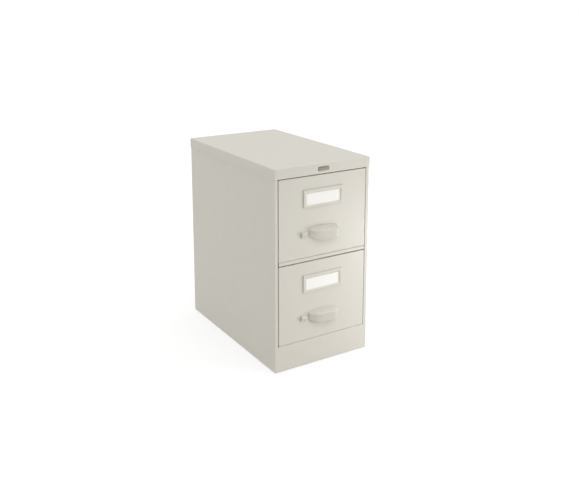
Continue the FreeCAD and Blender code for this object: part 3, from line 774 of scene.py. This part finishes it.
@dataclass
class LabelFrame:
    """The stamped label holder with its bevelled mouth, and the card behind it."""

    drawer: Drawer
    half_width: float = 80.0
    half_height: float = 30.5
    level: float = 203.5
    corner: float = 1.6
    side_band: float = 13.0
    top_band: float = 13.5
    bottom_band: float = 8.0
    mouth_corner: float = 0.6
    card_overlap: float = 4.0
    card_thickness: float = 0.5
    card_pocket: float = 0.75
    card_bow: float = 0.15
    card_clearance: float = 0.02
    card_stations: int = 25
    # The outer wall and its edge: how far in from the outside, and how far out from the head
    edge_in: tuple[float, ...] = (1.1, 0.8, 0.25, 0.0, 0.0, 0.2, 0.7, 1.4, 2.4)
    edge_out: tuple[float, ...] = (0.0, 0.3, 0.9, 1.6, 3.5, 4.1, 4.45, 4.58, 4.6)
    # The mouth's bevel and wall: how far round the opening, and how far out from the head
    mouth_round: tuple[float, ...] = (4.2, 3.5, 2.9, 0.5, 0.0, 0.0)
    mouth_out: tuple[float, ...] = (4.55, 4.4, 4.0, 1.5, 1.1, 0.75)

    def opening(self, grown: float) -> np.ndarray:
        """The outline of the opening, grown all round and lowered to its own middle.

        Args:
            grown: how far outside the opening the outline runs.

        Returns:
            Two coordinates to a row, from the middle of the holder.
        """
        half_height = self.half_height - (self.top_band + self.bottom_band) / 2
        outline = rounded_rectangle(
            self.half_width - self.side_band + grown,
            half_height + grown,
            self.mouth_corner + grown / 2,
        )
        return outline + np.array([0.0, (self.bottom_band - self.top_band) / 2])

    def build(self, finishes: Finishes) -> list[Object]:
        """Stack outlines: up the outer wall, over its edge, down the mouth and behind the card.

        Args:
            finishes: the built materials.

        Returns:
            The holder and its card.
        """
        low, _ = corners(f"{self.drawer.value}_head")
        outer = [
            rounded_rectangle(
                self.half_width - inset, self.half_height - inset, self.corner - inset / 2
            )
            for inset in self.edge_in
        ]
        mouth = [self.opening(grown) for grown in self.mouth_round]
        behind = self.card_overlap + self.mouth_corner
        rings = np.array(outer + mouth + [self.opening(behind), self.opening(behind)])
        heights = np.array(self.edge_out + self.mouth_out + (self.card_pocket, 0.0))
        out = np.broadcast_to(heights[:, None], rings.shape[:2])
        points = np.stack([rings[..., 0], low[1] - out, low[2] + self.level + rings[..., 1]], axis=-1)
        holder = make_piece(
            f"{self.drawer.value}_label_frame",
            points.reshape(-1, 3),
            ring_faces(len(rings), rings.shape[1], joined=True),
            finishes.cast_paint,
            f"{self.drawer.value}_drawer",
            crease_degrees=50.0,
        )
        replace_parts(holder, f"{self.drawer.value}_label_holder")
        return [holder, self.card(low, finishes)]

    def card(self, low: np.ndarray, finishes: Finishes) -> Object:
        """A thin card, bowed outwards in the middle by a parabola.

        Args:
            low: the head's lowest corner.
            finishes: the built materials.

        Returns:
            The card.
        """
        opening = self.opening(self.card_overlap)
        half_x = opening[:, 0].max()
        top, bottom = opening[:, 1].max(), opening[:, 1].min()
        x = np.linspace(-half_x, half_x, self.card_stations)
        section_z = np.array([bottom, top, top, bottom])
        in_front = np.array([0, 0, 1, 1])
        section_out = in_front * self.card_thickness + self.card_clearance
        bow = self.card_bow * (1 - (x / half_x) ** 2)
        out = section_out[None, :] + bow[:, None] * in_front[None, :]
        points = np.stack(
            [
                np.broadcast_to(x[:, None], out.shape),
                low[1] - out,
                np.broadcast_to(low[2] + self.level + section_z[None, :], out.shape),
            ],
            axis=-1,
        )
        piece = make_piece(
            f"{self.drawer.value}_index_card",
            points.reshape(-1, 3),
            ring_faces(len(x), 4),
            finishes.card,
            f"{self.drawer.value}_drawer",
        )
        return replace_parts(piece, f"{self.drawer.value}_label_card")


@dataclass
class BadgePlate:
    """The bare badge on the cap's lip: a dark field inside a slim raised rim."""

    half_width: float = 22.0
    half_height: float = 7.0
    corner: float = 3.4
    depth: float = 1.4
    rim: float = 0.8
    recess: float = 0.35
    # The rim: shares of the way from its outer to its inner outline, and of the depth
    shares: tuple[float, ...] = (0.0, 0.0, 0.12, 0.35, 0.65, 0.88, 1.0, 1.0)
    heights: tuple[float, ...] = (0.0, 0.75, 0.92, 1.0, 1.0, 0.92, 0.7, 0.0)
    # The field: shares of the inner outline's size, and of the depth that the recess leaves
    field_scale: tuple[float, ...] = (1.0, 1.0, 0.96, 0.5)
    field_level: tuple[float, ...] = (0.0, 0.9, 1.0, 1.0)

    def build(self, finishes: Finishes) -> list[Object]:
        """Make the rim from two nested outlines and the field from the inner one.

        Args:
            finishes: the built materials.

        Returns:
            The rim and the field.
        """
        low, high = corners("badge_plate")
        middle = (low + high) / 2
        outer = rounded_rectangle(self.half_width, self.half_height, self.corner)
        inner = rounded_rectangle(
            self.half_width - self.rim, self.half_height - self.rim, self.corner - self.rim
        )
        share = np.array(self.shares)[:, None, None]
        flat = outer[None] * (1 - share) + inner[None] * share
        out = np.broadcast_to(self.depth * np.array(self.heights)[:, None], flat.shape[:2])
        rim_points = np.stack(
            [middle[0] + flat[..., 0], high[1] - out, middle[2] + flat[..., 1]], axis=-1
        )
        rim = make_piece(
            "badge_rim",
            rim_points.reshape(-1, 3),
            ring_faces(len(self.shares), len(outer), joined=True),
            finishes.badge_rim,
            "case",
        )
        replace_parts(rim, "badge_plate")
        scale = np.array(self.field_scale)[:, None, None]
        level = np.array(self.field_level)[:, None] * (self.depth - self.recess)
        flat = inner[None] * scale
        field_points = np.stack(
            [
                middle[0] + flat[..., 0],
                high[1] - np.broadcast_to(level, flat.shape[:2]),
                middle[2] + flat[..., 1],
            ],
            axis=-1,
        )
        plate = make_piece(
            "badge_field",
            field_points.reshape(-1, 3),
            ring_faces(len(scale), len(inner)),
            finishes.badge_field,
            "case",
        )
        return [rim, plate]


@dataclass
class CaseShell:
    """The fixed case: painted sheets outside, painted uprights inside, glides and buffers."""

    painted: tuple[str, ...] = (
        "top_cap",
        "side_panel_left",
        "side_panel_right",
        "back_panel",
        "base_panel",
        "cross_rail",
        "top_header",
        "bottom_brace",
    )
    inner: tuple[str, ...] = (
        "front_upright_left",
        "front_upright_right",
        "rear_upright_left",
        "rear_upright_right",
    )

    def build(self, finishes: Finishes) -> None:
        """Dress the case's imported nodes.

        Args:
            finishes: the built materials.
        """
        for node in self.painted:
            dress(node, finishes.case_paint)
        for node in self.inner:
            dress(node, finishes.inner_paint)
        dress("corner_glides", finishes.nylon)
        dress("drawer_buffers", finishes.rubber)
        dress("latch_keepers", finishes.zinc)


@dataclass
class DrawerUnit:
    """One drawer: its head and box, its slides, its latch and its follower."""

    drawer: Drawer
    zinc_pieces: tuple[str, ...] = (
        "pull_screws",
        "latch_bar",
        "follower_rail",
        "follower_lever",
    )
    inner_pieces: tuple[str, ...] = ("head_liner", "drawer_body", "drawer_back", "follower_block")

    def build(self, finishes: Finishes) -> None:
        """Dress the drawer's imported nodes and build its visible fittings.

        Args:
            finishes: the built materials.
        """
        name = self.drawer.value
        dress(f"{name}_head", finishes.case_paint)
        for piece in self.inner_pieces:
            dress(f"{name}_{piece}", finishes.inner_paint)
        for piece in self.zinc_pieces:
            dress(f"{name}_{piece}", finishes.zinc)
        for side in Side:
            for member in ("case_slide", "mid_slide", "drawer_slide"):
                dress(f"{name}_{member}_{side.value}", finishes.zinc)
        for cage in ("case_ball_cages", "drawer_ball_cages"):
            dress(f"{name}_{cage}", finishes.bearing)
        dress(f"{name}_latch_spring", finishes.spring)
        BowPull(self.drawer).build(finishes)
        ThumbTab(self.drawer).build(finishes)
        LabelFrame(self.drawer).build(finishes)


@dataclass(frozen=True)
class Softbox:
    """A square lamp: its place, its side, its power in watts and the height that it points at."""

    name: str
    place: tuple[float, float, float]
    size: float
    power: float
    aim: float


@dataclass
class Studio:
    """A white floor under a white sky, with two soft lamps.

    The sky is brighter overhead than at the horizon, and brighter to the front left
    than to the rear right. The low lamp stands beside the open drawers.
    """

    floor_half: float = 30000.0
    zenith_strength: float = 1.15
    horizon_strength: float = 0.62
    bright_side: tuple[float, float, float] = (-0.8, -0.6, 0.0)
    side_lean: float = 0.13
    floor_colour: str = "#C8C8C8"
    floor_lift: float = 0.5
    softboxes: tuple[Softbox, ...] = (
        Softbox("key_softbox", (2300.0, -2300.0, 2600.0), size=1400.0, power=10.0, aim=354.0),
        Softbox("low_softbox", (900.0, -930.0, 30.0), size=420.0, power=6.8, aim=60.0),
    )

    def build(self) -> None:
        """Make the floor, the world and the lamps."""
        self.floor()
        self.sky()
        for softbox in self.softboxes:
            self.lamp(softbox)

    def floor(self) -> None:
        """A plain matt floor that the camera sees brighter than it is lit."""
        material, tree = new_material("matt_studio_floor")
        path = add_node(tree, "ShaderNodeLightPath").outputs
        seen = add_node(
            tree,
            "ShaderNodeMath",
            {0: path["Is Camera Ray"], 1: path["Is Glossy Ray"]},
            operation="MAXIMUM",
        ).outputs["Value"]
        lift = add_node(
            tree, "ShaderNodeMath", {0: seen, 1: self.floor_lift}, operation="MULTIPLY"
        ).outputs["Value"]
        matt = add_node(tree, "ShaderNodeBsdfDiffuse", {"Color": linear(self.floor_colour)})
        glow = add_node(tree, "ShaderNodeEmission", {"Color": linear("#FFFFFF"), "Strength": lift})
        both = add_node(
            tree, "ShaderNodeAddShader", {0: matt.outputs["BSDF"], 1: glow.outputs["Emission"]}
        ).outputs["Shader"]
        add_node(tree, "ShaderNodeOutputMaterial", {"Surface": both})
        edge = self.floor_half * MM
        mesh = bpy.data.meshes.new("studio_floor")
        mesh.from_pydata(
            [(-edge, -edge, 0), (edge, -edge, 0), (edge, edge, 0), (-edge, edge, 0)],
            [],
            [(0, 1, 2, 3)],
        )
        mesh.materials.append(material)
        floor = bpy.data.objects.new("studio_floor", mesh)
        bpy.context.scene.collection.objects.link(floor)

    def sky(self) -> None:
        """A white world: full white where it is seen, and graded with the height where it lights."""
        world = bpy.data.worlds.new("studio_sky")
        bpy.context.scene.world = world
        world.use_nodes = True
        tree = world.node_tree
        tree.nodes.clear()
        path = add_node(tree, "ShaderNodeLightPath").outputs
        direction = add_node(tree, "ShaderNodeTexCoord").outputs["Generated"]
        along = add_node(tree, "ShaderNodeSeparateXYZ", {"Vector": direction}).outputs
        graded = add_node(
            tree,
            "ShaderNodeMapRange",
            {"Value": along["Z"], "To Min": self.horizon_strength, "To Max": self.zenith_strength},
        ).outputs["Result"]
        towards = add_node(
            tree, "ShaderNodeVectorMath", {0: direction, 1: self.bright_side}, operation="DOT_PRODUCT"
        ).outputs["Value"]
        leaning = add_node(
            tree,
            "ShaderNodeMapRange",
            {
                "Value": towards,
                "From Min": -1.0,
                "To Min": 1 - self.side_lean,
                "To Max": 1 + self.side_lean,
            },
        ).outputs["Result"]
        graded = add_node(
            tree, "ShaderNodeMath", {0: graded, 1: leaning}, operation="MULTIPLY"
        ).outputs["Value"]
        strength = add_node(
            tree,
            "ShaderNodeMix",
            {"Factor": path["Is Camera Ray"], "A": graded, "B": 1.0},
        ).outputs["Result"]
        sky = add_node(
            tree, "ShaderNodeBackground", {"Color": linear("#FFFFFF"), "Strength": strength}
        ).outputs["Background"]
        add_node(tree, "ShaderNodeOutputWorld", {"Surface": sky})

    def lamp(self, softbox: Softbox) -> None:
        """Aim a square area lamp at the cabinet, unseen by the camera.

        Args:
            softbox: the lamp's name, place, size, power and aim.
        """
        light = bpy.data.lights.new(softbox.name, "AREA")
        light.energy = softbox.power
        light.shape = "SQUARE"
        light.size = softbox.size * MM
        lamp = bpy.data.objects.new(softbox.name, light)
        lamp.location = Vector(softbox.place) * MM
        lamp.visible_camera = False
        target = Vector((0.0, 0.0, softbox.aim * MM))
        lamp.rotation_mode = "QUATERNION"
        lamp.rotation_quaternion = (target - lamp.location).to_track_quat("-Z", "Y")
        bpy.context.scene.collection.objects.link(lamp)


@dataclass
class Viewpoint:
    """The camera, solved from the edges of the case in the picture with the case's size held."""

    azimuth: float = -31.826
    elevation: float = 11.329
    place: tuple[float, float, float] = (-1396.5, -2330.2, 1255.4)
    focal_pixels: float = 758.31
    centre_x: float = 288.23
    centre_y: float = 146.42
    image_width: int = 579
    image_height: int = 500
    sensor: float = 36.0
    # How far the camera sees, in metres
    far_clip: float = 200.0

    def build(self) -> None:
        """Make the camera: the lens from the focal length, the shift from the optical centre."""
        camera = bpy.data.cameras.new("viewpoint")
        camera.sensor_fit = "HORIZONTAL"
        camera.sensor_width = self.sensor
        camera.lens = self.focal_pixels * self.sensor / self.image_width
        camera.shift_x = (self.image_width / 2 - self.centre_x) / self.image_width
        camera.shift_y = (self.centre_y - self.image_height / 2) / self.image_width
        camera.clip_end = self.far_clip
        turn = math.radians(self.azimuth)
        lift = math.radians(self.elevation)
        back = Vector(
            (
                math.sin(turn) * math.cos(lift),
                -math.cos(turn) * math.cos(lift),
                math.sin(lift),
            )
        )
        view = bpy.data.objects.new("viewpoint", camera)
        view.location = Vector(self.place) * MM
        view.rotation_mode = "QUATERNION"
        view.rotation_quaternion = (-back).to_track_quat("-Z", "Y")
        bpy.context.scene.collection.objects.link(view)
        bpy.context.scene.camera = view


def main() -> None:
    """Build every sub-assembly in order, then the studio."""
    logging.basicConfig(level=logging.INFO, format="%(message)s")
    bpy.context.scene.view_settings.view_transform = "Standard"
    finishes = Finishes()
    CaseShell().build(finishes)
    BadgePlate().build(finishes)
    for drawer in Drawer:
        DrawerUnit(drawer).build(finishes)
    Studio().build()
    Viewpoint().build()


if __name__ == "__main__":
    main()
